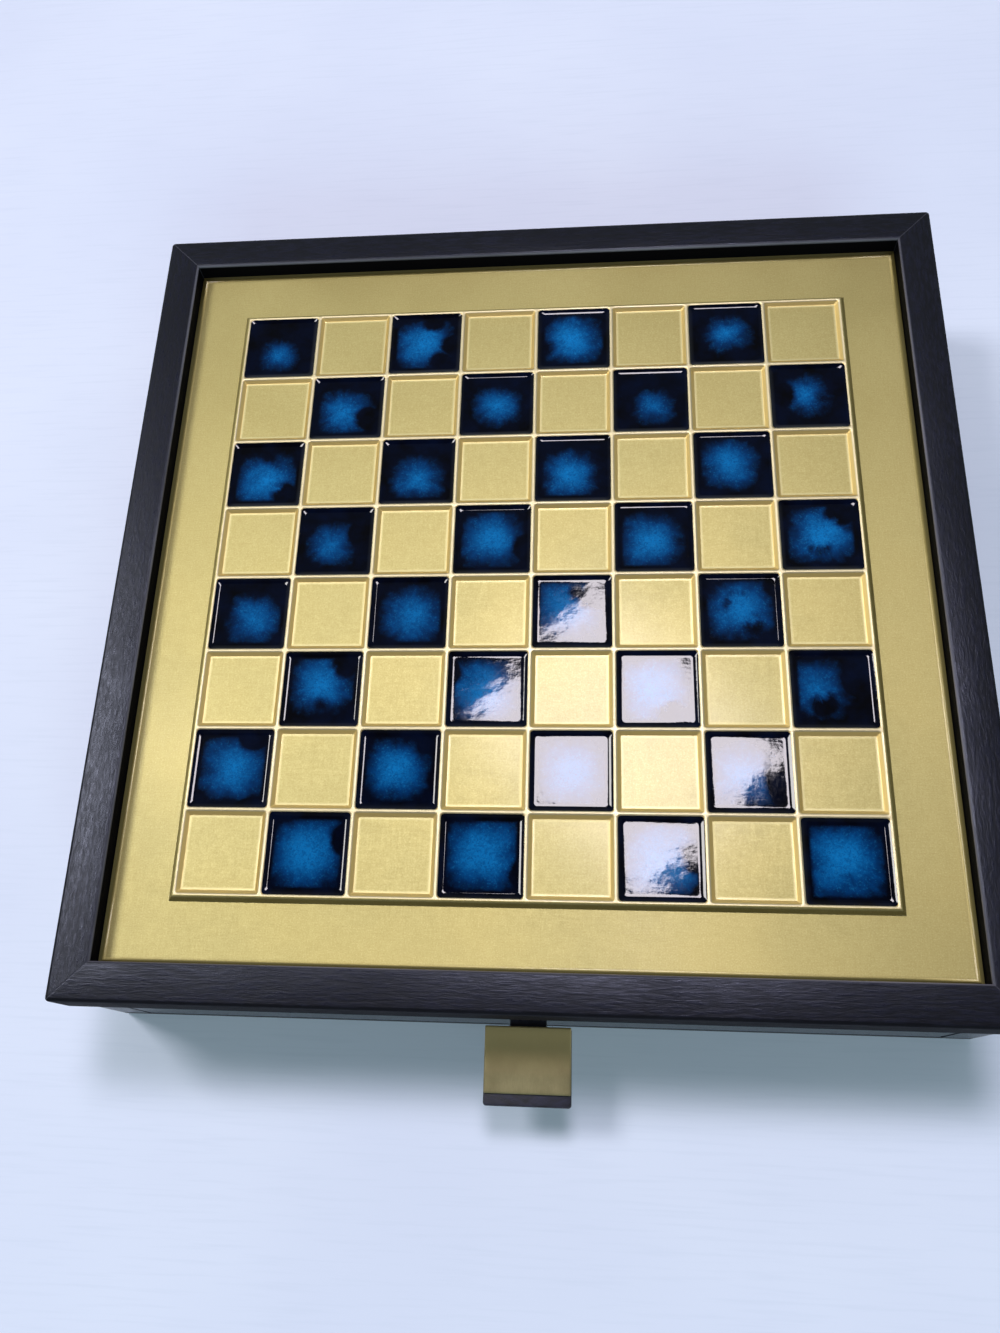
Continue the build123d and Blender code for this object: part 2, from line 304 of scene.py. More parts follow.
# ---------------------------------------------------------------- materials
def plate_brass():
    """Satin lacquered sheet with a fine woven-looking brushed grain."""
    s = Surface("plate_brass", Coat_Weight=0.3, Coat_Roughness=0.15, Metallic=1.0)
    along = s.noise(0.5, s.stretched(0.12, 1, 1), detail=2)
    across = s.noise(0.5, s.stretched(1, 0.12, 1), detail=2)
    weave = s.math("MULTIPLY", s.math("ADD", along, across), 0.5)
    cloud = s.noise(40, detail=3)
    speck = s.noise(1.1, detail=5, rough=0.7)
    grain = s.noise(0.45, detail=3, rough=0.6)
    tone = s.mix(s.range(cloud, 0.35, 0.65), rgb(170, 160, 106), rgb(178, 169, 115))
    tone = s.mix(s.range(weave, 0.4, 0.6, 0, 0.15), tone, rgb(164, 148, 92))
    tone = s.mix(s.range(grain, 0.52, 0.7, 0, 0.28), tone, rgb(210, 200, 146))
    tone = s.mix(s.range(grain, 0.34, 0.46, 0.26, 0), tone, rgb(148, 132, 80))
    tone = s.mix(s.range(speck, 0.62, 0.8, 0, 0.3), tone, rgb(144, 128, 76))
    x, y, _ = s.parts(s.place)
    from_middle = s.farther(x, y)
    on_grid = s.math("LESS_THAN", from_middle, grid_half)
    in_x, in_y, _ = s.in_square()
    from_centre = s.farther(in_x, in_y)
    # from the middle of a square outwards: a painted highlight along the foot of
    # the slope, a painted warm sheen on the slope, and a painted highlight along the ridge
    for start, end, strength, colour in (
        (0.395, 0.425, 0.5, rgb(222, 214, 164)),
        (0.425, 0.44, 0.75, rgb(232, 200, 122)),
        (0.468, 0.484, 0.85, rgb(206, 198, 166)),
    ):
        painted_highlight_zone = s.range(from_centre, start, end, 0, strength, smooth=True)
        tone = s.mix(s.math("MULTIPLY", painted_highlight_zone, on_grid), tone, colour)
    # the border is a little darker than the squares
    border = s.range(from_middle, grid_half, grid_half + 0.6 * MM, 0, 0.07)
    tone = s.mix(border, tone, rgb(140, 128, 78))
    # painted shade along the frame: its shadow and dark reflection on the brass, darkest at the edge
    painted_frame_shade = s.range(from_middle, plate_half - 2.4 * MM, plate_half - 0.8 * MM, 0, 0.85, smooth=True)
    tone = s.mix(painted_frame_shade, tone, rgb(88, 78, 40))
    roughness = s.range(s.math("ADD", weave, cloud), 0.8, 1.2, 0.49, 0.57)
    normal = s.bump(weave, 0.007)
    return s.finish(tone, roughness, s.bump(grain, 0.009, normal))


def blue_enamel():
    """Glossy glaze, blue in the middle of a square and nearly black at its edges."""
    s = Surface("blue_enamel", IOR=1.39)
    blob = s.node("Attribute", attribute_name="blob").outputs["Vector"]
    shade = s.node("Attribute", attribute_name="shade").outputs["Fac"]
    blob_x, blob_y, blob_size = s.parts(blob)
    x, y, _ = s.in_square()
    near_x = s.math("SUBTRACT", x, blob_x)
    near_y = s.math("SUBTRACT", y, blob_y)
    # distance from the middle of the blob, with rings between a circle and a square
    power = 2.6
    far_x = s.math("POWER", s.math("ABSOLUTE", near_x), power)
    far_y = s.math("POWER", s.math("ABSOLUTE", near_y), power)
    far = s.math("POWER", s.math("ADD", far_x, far_y), 1 / power)
    # streaks that run out from there
    turn = s.math("ARCTAN2", near_y, near_x)
    rays = s.node("CombineXYZ", {"X": s.math("MULTIPLY", turn, 5.0), "Y": s.math("MULTIPLY", far, 3.0)})
    streaks = s.noise(1000, rays.outputs[0], detail=4)
    cloud = s.noise(8, detail=3, rough=0.55)
    bays = s.noise(3.5, detail=2, rough=0.5)
    crackle = s.noise(0.9, detail=4, rough=0.65, twist=1.2)
    fleck = s.noise(0.55, detail=2)
    # under 0 inside the blob, 0 at its rim: half of each noise's weight is taken off again
    edge = far
    weights = ((cloud, 0.30), (bays, 0.10), (streaks, 0.10), (crackle, 0.07))
    for pattern, weight in weights:
        edge = s.math("MULTIPLY_ADD", pattern, weight, edge)
    middle = sum(weight for _, weight in weights) / 2
    edge = s.math("SUBTRACT", s.math("SUBTRACT", edge, middle), blob_size)
    # dark round bays in the outer part of the blob
    bite = s.math("MULTIPLY_ADD", crackle, 0.12, s.cells(17))
    bite = s.range(bite, 0.22, 0.40, 0.2, 0, smooth=True)
    bite = s.math("MULTIPLY", bite, s.range(edge, -0.26, -0.12, smooth=True))
    edge = s.math("ADD", edge, bite)
    body = s.range(edge, -0.16, 0.08, 1, 0, smooth=True)
    glow = s.range(edge, -0.38, -0.04, 1, 0, smooth=True)
    # no blue where the coat runs up to its rim
    wall = s.farther(x, y)
    clear = s.range(s.math("MULTIPLY_ADD", crackle, 0.03, wall), 0.375, 0.425, 1, 0, smooth=True)
    tone = s.mix(glow, rgb(2, 52, 104), rgb(14, 116, 186))
    tone = s.mix(s.range(crackle, 0.44, 0.62, 0, 0.55), tone, rgb(2, 54, 112))
    tone = s.mix(s.range(fleck, 0.56, 0.72, 0, 0.3), tone, rgb(36, 136, 196))
    # painted shade: darker towards the front rows, from the shade attribute
    tone = s.mix(shade, rgb(2, 38, 84), tone)
    deep = s.mix(s.range(cloud, 0.35, 0.7), rgb(1, 1, 6), rgb(2, 8, 30))
    tone = s.mix(s.math("MULTIPLY", body, clear), deep, tone)
    # a gentle ripple, with fine combed lines towards the rim
    ripple = s.noise(5, detail=2, rough=0.4)
    comb = s.noise(0.9, s.stretched(0.3, 1, 1), detail=2)
    comb = s.math("MULTIPLY", comb, s.range(wall, 0.24, 0.38, 0.3, 1))
    pores = s.noise(0.7, detail=2)
    normal = s.bump(ripple, 0.026)
    normal = s.bump(comb, 0.005, normal)
    normal = s.bump(pores, 0.0025, normal)
    return s.finish(tone, s.range(pores, 0.3, 0.7, 0.025, 0.06), normal)


# dark and light tone of the wrap, its roughness, depth of grain in mm, and gloss
FRAME_WRAP = (rgb(2, 2, 4), rgb(28, 29, 42), 0.30, 0.07, 0.34)
CASE_WRAP = (rgb(16, 15, 19), rgb(40, 39, 47), 0.27, 0.02, 0.6)


def leatherette(name, along, low, high, roughness, relief, gloss):
    """Dark embossed wrap. Its grain is drawn out along X or Y on the frame, and even on the case."""
    s = Surface(name, Specular_IOR_Level=gloss, Specular_Tint=(0.72, 0.78, 1.0, 1.0))
    scale = {"X": (0.15, 1, 1), "Y": (1, 0.22, 1), "": (0.7, 0.7, 1)}[along]
    place = s.stretched(*scale)
    fibre = s.noise(0.4, place, detail=5, rough=0.62, twist=0.4)
    fold = s.noise(1.1, place, detail=3, rough=0.5, twist=1.0)
    pebble = s.cells(0.9, place, feature="SMOOTH_F1", smooth=0.4)
    patch = s.noise(30, detail=3)
    height = s.math("ADD", s.math("MULTIPLY", fibre, 0.6), s.math("MULTIPLY", fold, 0.7))
    height = s.math("MULTIPLY_ADD", pebble, -0.35, height)
    tone = s.mix(s.range(height, 0.38, 0.68), low, high)
    tone = s.mix(s.range(patch, 0.35, 0.7, 0, 0.35), tone, low)
    worn = s.range(s.noise(2.2, detail=4, rough=0.7), 0.70, 0.78, 0, 0.12)
    tone = s.mix(worn, tone, rgb(120, 118, 122))
    rough = s.range(height, 0.3, 0.8, roughness + 0.1, roughness - 0.08)
    if along:
        # painted shade: the wrap is dull and dark down the outer sides of the frame, and
        # still darker below its top edges
        x, y, z = s.parts(s.place)
        from_middle = s.farther(x, y)
        outer = s.range(from_middle, frame_half - 1.2 * MM, frame_half - 0.4 * MM, smooth=True)
        below = s.range(z, bar_high.z - 1.3 * MM, bar_high.z - 0.7 * MM, 1, 0, smooth=True)
        tone = s.mix(outer, tone, rgb(9, 9, 13))
        tone = s.mix(below, tone, rgb(5, 5, 8))
        side = s.math("MAXIMUM", s.math("MULTIPLY", outer, 0.75), below)
        rough = s.math("MULTIPLY_ADD", side, 0.35, rough)
        s.set(s.shader.inputs["Specular IOR Level"], s.range(side, 0, 1, gloss, 0.06))
        # painted highlight over the inner top edge, broken up in patches
        over = s.range(from_middle, opening_half + 0.15 * MM, opening_half + 0.65 * MM, 1, 0)
        rubbed = s.range(s.noise(14, place, detail=3), 0.3, 0.7, 0.3, 1)
        over = s.math("MULTIPLY", s.math("MULTIPLY", over, s.math("SUBTRACT", 1.0, below)), rubbed)
        tone = s.mix(over, tone, rgb(118, 117, 130))
        # pale line of the cut along each mitre
        off_mitre = s.math("ABSOLUTE", s.math("SUBTRACT", s.math("ABSOLUTE", x), s.math("ABSOLUTE", y)))
        tone = s.mix(s.range(off_mitre, 0.05 * MM, 0.3 * MM, 0.4, 0), tone, rgb(84, 84, 96))
    return s.finish(tone, rough, s.bump(height, relief))


def strap_leather():
    """Smooth strap, a little lighter where it is worn."""
    s = Surface("pull_leather")
    grain = s.cells(0.45, feature="SMOOTH_F1", smooth=0.5)
    crease = s.noise(1.8, s.stretched(0.5, 1, 1), detail=4, twist=0.6)
    tone = s.mix(s.range(crease, 0.35, 0.7), rgb(17, 17, 27), rgb(36, 36, 56))
    normal = s.bump(s.math("ADD", grain, crease), 0.05)
    return s.finish(tone, s.range(crease, 0.3, 0.7, 0.5, 0.62), normal)


def tab_brass():
    """Dull aged plate with brown stains and fine rubbed lines."""
    s = Surface("tab_brass", Metallic=0.5, Specular_IOR_Level=0.4)
    stain = s.noise(7, s.stretched(1.2, 0.8, 1), detail=4, rough=0.6)
    rub = s.noise(0.4, s.stretched(1, 0.15, 1), detail=3)
    fine = s.noise(0.35, detail=4, rough=0.7)
    tone = s.mix(s.range(stain, 0.35, 0.68), rgb(136, 128, 94), rgb(122, 113, 82))
    tone = s.mix(s.range(fine, 0.6, 0.75, 0, 0.4), tone, rgb(176, 168, 128))
    tone = s.mix(s.range(rub, 0.45, 0.65, 0, 0.12), tone, rgb(100, 94, 64))
    # painted light towards the drawer, where the frame's shadow falls on the plate
    _, y, _ = s.parts(s.place)
    far = s.math("ABSOLUTE", y)
    pale = s.range(far, frame_half + 2 * MM, frame_half + 17 * MM, 0.85, 0, smooth=True)
    tone = s.mix(pale, tone, rgb(232, 206, 150))
    roughness = s.range(stain, 0.3, 0.7, 0.58, 0.68)
    return s.finish(tone, roughness, s.bump(s.math("ADD", rub, fine), 0.006))


def fibreboard():
    """Raw pressed board with short pale and dark fibres."""
    s = Surface("fibreboard", Roughness=0.85)
    fibre = s.noise(1.2, s.stretched(0.4, 1, 1), detail=6, rough=0.7, twist=1.5)
    fleck = s.noise(0.5, detail=3)
    tone = s.mix(s.range(fibre, 0.3, 0.7), rgb(176, 142, 98), rgb(206, 176, 130))
    tone = s.mix(s.range(fleck, 0.6, 0.75, 0, 0.5), tone, rgb(128, 96, 60))
    return s.finish(tone, None, s.bump(fibre, 0.06))


def dark_board():
    """Board covered in dark paper with a fine woven emboss."""
    s = Surface("dark_board")
    thread_x = s.noise(0.4, s.stretched(0.15, 1, 1), detail=2)
    thread_y = s.noise(0.4, s.stretched(1, 0.15, 1), detail=2)
    weave = s.math("ADD", thread_x, thread_y)
    scuff = s.noise(9, detail=5, rough=0.65)
    tone = s.mix(s.range(weave, 0.8, 1.2), rgb(27, 26, 31), rgb(50, 48, 56))
    tone = s.mix(s.range(scuff, 0.6, 0.8, 0, 0.3), tone, rgb(74, 70, 74))
    return s.finish(tone, s.range(scuff, 0.3, 0.7, 0.6, 0.72), s.bump(weave, 0.04))


def felt():
    """Matted short fibres, dark."""
    s = Surface("felt", Roughness=0.95, Sheen_Weight=0.25, Sheen_Roughness=0.5)
    mat = s.noise(0.6, detail=6, rough=0.75, twist=2.0)
    lint = s.noise(0.3, s.stretched(0.2, 1, 1), detail=3, twist=3.0)
    tone = s.mix(s.range(mat, 0.35, 0.65), rgb(26, 27, 32), rgb(54, 55, 62))
    tone = s.mix(s.range(lint, 0.68, 0.78, 0, 0.6), tone, rgb(120, 120, 124))
    return s.finish(tone, None, s.bump(mat, 0.25))


def velvet():
    """Short pile, deep blue, brushed this way and that."""
    s = Surface("velvet", Roughness=0.85, Sheen_Weight=0.7, Sheen_Roughness=0.35,
                Sheen_Tint=rgb(90, 130, 200))
    pile = s.noise(0.35, detail=4, rough=0.7)
    stroke = s.noise(16, s.stretched(1, 0.5, 1), detail=3, twist=1.0)
    tone = s.mix(s.range(stroke, 0.35, 0.65), rgb(12, 26, 74), rgb(24, 46, 108))
    tone = s.mix(s.range(pile, 0.35, 0.7, 0, 0.5), tone, rgb(8, 18, 56))
    normal = s.bump(pile, 0.12)
    return s.finish(tone, None, s.bump(stroke, 0.4, normal))


def screw_steel():
    """Zinc plated steel, faintly yellow, with turning marks."""
    s = Surface("screw_steel", Metallic=1.0)
    cloud = s.noise(1.5, detail=3)
    fine = s.noise(0.15, detail=3)
    tone = s.mix(s.range(cloud, 0.35, 0.65), rgb(190, 188, 180), rgb(206, 198, 170))
    return s.finish(tone, s.range(fine, 0.3, 0.7, 0.28, 0.42), s.bump(fine, 0.01))


materials = {
    "plate_brass": plate_brass(),
    "blue_enamel": blue_enamel(),
    "leather_x": leatherette("frame_leather_x", "X", *FRAME_WRAP),
    "leather_y": leatherette("frame_leather_y", "Y", *FRAME_WRAP),
    "case_leather": leatherette("case_leather", "", *CASE_WRAP),
    "pull_leather": strap_leather(),
    "tab_brass": tab_brass(),
    "fibreboard": fibreboard(),
    "dark_board": dark_board(),
    "felt": felt(),
    "velvet": velvet(),
    "screw_steel": screw_steel(),
}


# ---------------------------------------------------------------- CAD nodes that stay
def dress(node, material, edge=0.0):
    """Gives a CAD node its finish, and rounds its edges by edge millimetres."""
    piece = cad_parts[node]
    piece.data.materials.clear()
    piece.data.materials.append(material)
    if edge:
        weld = piece.modifiers.new("weld", "WELD")
        weld.merge_threshold = 0.01 * MM
        bevel = piece.modifiers.new("edges", "BEVEL")
        bevel.width = edge * MM
        bevel.segments = 3
        bevel.limit_method = "ANGLE"
        bevel.angle_limit = math.radians(50)
        bevel.harden_normals = True


for node, name, edge in (
    ("side_wall_left", "case_leather", 0.0),
    ("side_wall_right", "case_leather", 0.0),
    ("top_panel", "dark_board", 0.3),
    ("bottom_panel", "dark_board", 0.0),
    ("centre_partition", "fibreboard", 0.0),
    ("board_core", "fibreboard", 0.0),
    ("base_felt", "felt", 0.5),
    ("case_screws", "screw_steel", 0.0),
):
    dress(node, materials[name], edge)

for side in ("front_", "back_"):
    dress(side + "drawer_face", materials["case_leather"])
    dress(side + "face_screws", materials["screw_steel"])
    for board in ("inner_front", "left_side", "right_side", "back", "bottom"):
        dress(side + "drawer_" + board, materials["dark_board"])


# ---------------------------------------------------------------- board
def squares(enamelled):
    """Column, row and centre of each enamelled or bare square, from the front left."""
    for row in range(SQUARES):
        for column in range(SQUARES):
            if ((column + row) % 2 == 1) == enamelled:
                x = (column + 0.5) * PITCH * MM - grid_half
                y = (row + 0.5) * PITCH * MM - grid_half
                yield column, row, (x, y)


def fall(distance, depth, slope):
    """How far the sheet lies below the ridges, at this distance from the middle of one.
    A rounded crest, then a straight slope that runs out softly at depth. All in mm.
    """
    steep = math.atan(slope)
    crest = CREST_ROUND * math.sin(steep)
    if distance < crest:
        return CREST_ROUND - math.sqrt(CREST_ROUND ** 2 - distance ** 2)
    left = depth - CREST_ROUND * (1 - math.cos(steep)) - slope * (distance - crest)
    if left < FOOT_ROUND:
        left = max(left + FOOT_ROUND, 0.0) ** 2 / (4 * FOOT_ROUND)
    return depth - left


# Where the plate's mesh has its rings, from the middle of a ridge, in mm: close
# together round the crest, and where a slope runs out.
CREST_STEPS = (0.12, 0.25, 0.37, 0.48, 0.58, 0.68)
PAN_STEPS = CREST_STEPS + (0.9, 1.2, 1.5, 1.6, 1.7, 1.8, 1.9, 2.6)
GRID_STEPS = CREST_STEPS + (0.76, 0.83, 1.1, 1.4, 1.6, 1.68, 1.76, 1.84, 1.92, 3.0)
EDGE_STEPS = 8


def pan_rings(centre):
    """Rings from the middle of the ridges down to the floor of a sunk square."""
    half = PITCH / 2
    rings = [ring(half * MM, half * MM, 0, z_ridge, centre, wrap=2 * MM)]
    for distance in PAN_STEPS:
        corner = max(PAN_CORNER - distance, PAN_CORNER_LEAST)
        z = z_ridge - fall(distance, PAN_DEPTH, PAN_SLOPE) * MM
        side = (half - distance) * MM
        rings.append(ring(side, side, corner * MM, z, centre))
    return rings


def board_plate():
    """Pressed sheet: rounded ridges, sunk squares and a plain border, turned up at its edge."""
    bm = bmesh.new()
    for enamelled in (True, False):
        for _, _, centre in squares(enamelled):
            loft(bm, pan_rings(centre), close_end=True)
    bmesh.ops.remove_doubles(bm, verts=bm.verts, dist=0.005 * MM)
    # half width and height of the rings outside the grid, outwards
    places = []
    for distance in GRID_STEPS:
        z = z_ridge - fall(distance, BORDER_BELOW, GRID_SLOPE) * MM
        places.append((grid_half + distance * MM, z))
    for step in range(EDGE_STEPS + 1):
        share = step / EDGE_STEPS
        half = plate_half - (EDGE_RUN * (1 - share) + EDGE_CUT) * MM
        places.append((half, z_border + EDGE_RISE * share ** EDGE_CURL * MM))
    places += [(plate_half, z_border + (EDGE_RISE - 0.1) * MM), (plate_half, z_sheet)]
    # each ring is the one before it, pushed out square and set to its height
    rim = [vert for vert in bm.verts if vert.is_boundary]
    rim.sort(key=lambda vert: math.atan2(vert.co.y, vert.co.x))
    reach = grid_half
    for half, z in places:
        pushed = []
        for vert in rim:
            x, y = [math.copysign(half, part) if abs(abs(part) - reach) < 1e-6 else part
                    for part in vert.co[:2]]
            pushed.append(bm.verts.new((x, y, z)))
        band(bm, rim, pushed)
        rim, reach = pushed, half
    bm.faces.new(rim)
    finished("plate", bm, materials["plate_brass"], "case", "plate_brass", "board_plate")


# The blue in the glaze of each square, judged row by row from the
# front: half its width, and its middle off the middle of the square, all as
# shares of the pitch.
BLOBS = (
    ((0.42, 0.00, 0.00), (0.42, 0.00, 0.03), (0.44, 0.00, -0.04), (0.42, -0.05, 0.02)),
    ((0.38, 0.02, 0.01), (0.35, -0.03, 0.00), (0.40, 0.00, 0.00), (0.36, -0.08, -0.04)),
    ((0.35, 0.00, 0.08), (0.41, -0.04, -0.03), (0.40, -0.05, 0.00), (0.30, -0.18, 0.01)),
    ((0.31, 0.06, -0.08), (0.36, 0.04, -0.04), (0.40, -0.08, 0.03), (0.38, 0.00, 0.02)),
    ((0.27, -0.05, -0.04), (0.38, -0.01, 0.00), (0.36, -0.04, -0.06), (0.37, 0.01, 0.02)),
    ((0.37, 0.00, -0.10), (0.30, 0.00, -0.10), (0.34, -0.05, -0.09), (0.34, -0.04, 0.03)),
    ((0.33, -0.05, -0.07), (0.27, 0.01, -0.02), (0.23, 0.03, -0.09), (0.26, -0.03, 0.02)),
    ((0.23, -0.03, -0.13), (0.38, -0.03, 0.00), (0.38, -0.03, 0.00), (0.26, 0.01, 0.02)),
)


def coat_rings(centre):
    """Rings of one enamel coat: its underside, its rim and its glossy face."""
    half = PITCH / 2

    def level(distance, drop):
        side = (half - distance) * MM
        return ring(side, side, COAT_CORNER * MM, z_ridge - drop * MM, centre)

    rings = [level(distance, fall(distance, PAN_DEPTH, PAN_SLOPE) - COAT_SEAT)
             for distance in (2.4, 1.7, 1.2, 0.85)]
    rim_drop = fall(COAT_RIM, PAN_DEPTH, PAN_SLOPE) - COAT_RIM_SEAT
    steps = 16
    for i in range(steps + 1):
        t = i / steps
        distance = COAT_RIM + t * (COAT_FOOT - COAT_RIM)
        climb = (1 - t) ** MENISCUS
        drop = rim_drop + (PAN_DEPTH - COAT_FLOOR - rim_drop) * (1 - climb)
        rings.append(level(distance, drop))
    floor_half = half - COAT_FOOT
    for share in (0.94, 0.86, 0.7, 0.45, 0.2):
        dip = COAT_DIP * math.sin(math.pi * share)
        rings.append(level(half - floor_half * share, PAN_DEPTH - COAT_FLOOR + dip))
    return rings


def enamel_coats():
    """The glazed squares, each with its own blob of blue."""
    bm = bmesh.new()
    blob = bm.verts.layers.float_vector.new("blob")
    shade = bm.verts.layers.float.new("shade")
    draw = random.Random(5)
    for column, row, centre in squares(True):
        size, blob_x, blob_y = BLOBS[row][column // 2]
        # painted shade: a little darker towards the front of the board, and a little uneven from square to
        # square
        strength = 0.7 + 0.3 * row / SQUARES + draw.uniform(-0.12, 0.08)
        for verts in loft(bm, coat_rings(centre), close_start=True, close_end=True):
            for vert in verts:
                vert[blob] = (blob_x, blob_y, size)
                vert[shade] = strength
    finished("glaze", bm, materials["blue_enamel"], "case", "blue_enamel", "enamel_squares", sharp=60)


# ---------------------------------------------------------------- frame
def bar_outline():
    """Section of the front bar as (y, z): inner foot, outer foot, outer face, top, and
    the inner wall down to just above the plate."""
    y0, y1 = -frame_half, -opening_half
    z0, z1 = bar_low.z, bar_high.z
    points = [(y1, z0)]

    def arc(y, z, radius, first, last, steps=6):
        for i in range(steps + 1):
            angle = math.radians(first + (last - first) * i / steps)
            points.append((y + radius * MM * math.cos(angle), z + radius * MM * math.sin(angle)))

    arc(y0 + BAR_FOOT_ROUND * MM, z0 + BAR_FOOT_ROUND * MM, BAR_FOOT_ROUND, 270, 180)
    arc(y0 + BAR_OUT_ROUND * MM, z1 - BAR_OUT_ROUND * MM, BAR_OUT_ROUND, 180, 90)
    arc(y1 - BAR_IN_ROUND * MM, z1 - BAR_IN_ROUND * MM, BAR_IN_ROUND, 90, 0, steps=8)
    points.append((y1, z_border + BAR_OVER_BORDER * MM))
    return points


def frame_bar(side_name, degrees, material):
    """One mitred bar, with the frame's corners rounded a little at its ends."""
    outline = bar_outline()
    middle_z = (bar_low.z + bar_high.z) / 2
    outer_face = frame_half - (BAR_OUT_ROUND + 0.05) * MM
    # distances from the mitre, in mm: close together round the corner
    stations = [0.01, 0.1, 0.25, 0.45, 0.7, 1.0, 1.3] + [2.0 + 8.0 * i for i in range(16)]
    rings = []
    for side in (-1, 1):
        half_rings = []
        for from_end in stations:
            points = []
            for y, z in outline:
                reach, depth = abs(y), abs(y)
                if reach > outer_face and from_end < CORNER_ROUND:
                    # the corner's arc, from the mitre to where the side is straight
                    along = CORNER_ROUND * (1 - math.sqrt(0.5)) + from_end * math.sqrt(0.5)
                    away = CORNER_ROUND - along
                    depth -= (CORNER_ROUND - math.sqrt(CORNER_ROUND ** 2 - away ** 2)) * MM
                    reach -= along * MM
                else:
                    reach -= from_end * MM
                # a hair lower at the cut, and a little uneven along the top
                eased_z = z - (0.02 * MM if from_end < 0.05 and z > middle_z else 0)
                wave = BAR_WAVE * MM * noise.noise(Vector((side * reach * 60, y * 300, degrees)))
                rise = wave if from_end > 1.5 and z > bar_high.z - 0.5 * MM else 0.0
                points.append(Vector((side * reach, -depth, min(eased_z + rise, bar_high.z))))
            half_rings.append(points)
        rings += half_rings if side < 0 else list(reversed(half_rings))
    bm = bmesh.new()
    loft(bm, rings, close_start=True, close_end=True)
    turned_about(bm, degrees)
    finished("bar_" + side_name, bm, material, "case", "frame_leather", "frame_" + side_name,
             sharp=50)


# ---------------------------------------------------------------- pulls
# Height above the strap, and how far in from the plate's outline, in mm: a
# plate with its upper edges rounded over.
TAB_PROFILE = ((-0.02, 0.0), (0.6, 0.0), (0.85, 0.06), (1.05, 0.2), (1.16, 0.4), (TAB_THICK, 0.65),
               (TAB_THICK, 2.0))


def strap_outline(strap_low, strap_high, face_y):
    """Outline of the front pull from above, from the neck round the head."""
    half = strap_high.x
    neck = NECK_WIDTH / 2 * MM
    radius = HEAD_ROUND * MM
    y_front = strap_low.y
    y_back = y_front + HEAD_LENGTH * MM
    points = [(neck, face_y + 3 * MM), (neck, face_y), (neck, y_back + 0.5 * MM)]
    points.append((neck + 0.15 * MM, y_back + 0.15 * MM))
    points.append((neck + 0.5 * MM, y_back))
    for centre_y, first in ((y_back - radius, 90), (y_front + radius, 0)):
        for i in range(6):
            angle = math.radians(first - 90 * i / 5)
            x = half - radius + radius * math.cos(angle)
            points.append((x, centre_y + radius * math.sin(angle)))
    return points + [(-x, y) for x, y in reversed(points)]


def inset_outline(points, distance):
    """The outline moved inwards by distance."""
    moved = []
    count = len(points)
    for i, (x, y) in enumerate(points):
        before, after = points[i - 1], points[(i + 1) % count]
        dx, dy = after[0] - before[0], after[1] - before[1]
        length = math.hypot(dx, dy) or 1.0
        moved.append((x + dy / length * distance, y - dx / length * distance))
    return moved


def pull_strap(side, degrees, z_bottom, z_top):
    """Flat leather strap, and its tail turned down behind the drawer's face."""
    strap_low, strap_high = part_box("front_pull_strap")
    face_low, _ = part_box("front_drawer_face")
    outline = strap_outline(strap_low, strap_high, face_low.y)
    bm = bmesh.new()
    rings = []
    for z, inset in ((z_bottom, 0.5), (z_bottom + 0.15 * MM, 0.2), (z_bottom + 0.5 * MM, 0.0),
                     (z_bottom + 1.5 * MM, 0.0), (z_top - 0.15 * MM, 0.15), (z_top, 0.45)):
        rings.append([Vector((x, y, z)) for x, y in inset_outline(outline, inset * MM)])
    loft(bm, rings, close_start=True, close_end=True)
    half_x, half_y = NECK_WIDTH / 2 * MM, STRAP_THICK / 2 * MM
    centre = (0.0, strap_high.y - half_y)
    tail = []
    for z, inset in ((strap_low.z, 0.3 * MM), (strap_low.z + 0.4 * MM, 0.0), (z_top - 1.0 * MM, 0.0),
                     (z_top, 0.0)):
        tail.append(ring(half_x - inset, half_y - inset, TAIL_ROUND * MM, z, centre, steps=3))
    loft(bm, tail, close_start=True, close_end=True)
    turned_about(bm, degrees)
    finished(side + "_strap", bm, materials["pull_leather"], side + "_drawer", "pull_leather",
             side + "_pull_strap")


def pull_tab(side, degrees, z_bottom, z_top):
    """Bare metal plate on the strap, and the ends of its two prongs below."""
    _, tab_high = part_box("front_pull_tab")
    half_x, half_y = tab_high.x, TAB_LENGTH / 2 * MM
    centre = (0.0, tab_high.y - half_y)
    bm = bmesh.new()
    rings = []
    for height, inset in TAB_PROFILE:
        sides = (half_x - inset * MM, half_y - inset * MM)
        rings.append(ring(*sides, TAB_CORNER * MM, z_top + height * MM, centre, steps=4))
    loft(bm, rings, close_start=True, close_end=True)
    long, wide = PRONG_LENGTH / 2 * MM, PRONG_WIDTH / 2 * MM
    for turn in (-1, 1):
        prong = (turn * (half_x - PRONG_INSET * MM - long), centre[1])
        strip = [ring(long, wide, 0.3 * MM, z, prong, steps=3)
                 for z in (z_bottom - PRONG_THICK * MM, z_bottom - 0.15 * MM, z_bottom)]
        loft(bm, strip, close_start=True, close_end=True)
    turned_about(bm, degrees)
    finished(side + "_tab", bm, materials["tab_brass"], side + "_drawer", "tab_brass",
             side + "_pull_tab")


def pull(side, degrees):
    """The strap and plate that draw out a drawer."""
    _, tab_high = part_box("front_pull_tab")
    z_top = tab_high.z - TAB_THICK * MM
    z_bottom = z_top - STRAP_THICK * MM
    pull_strap(side, degrees, z_bottom, z_top)
    pull_tab(side, degrees, z_bottom, z_top)


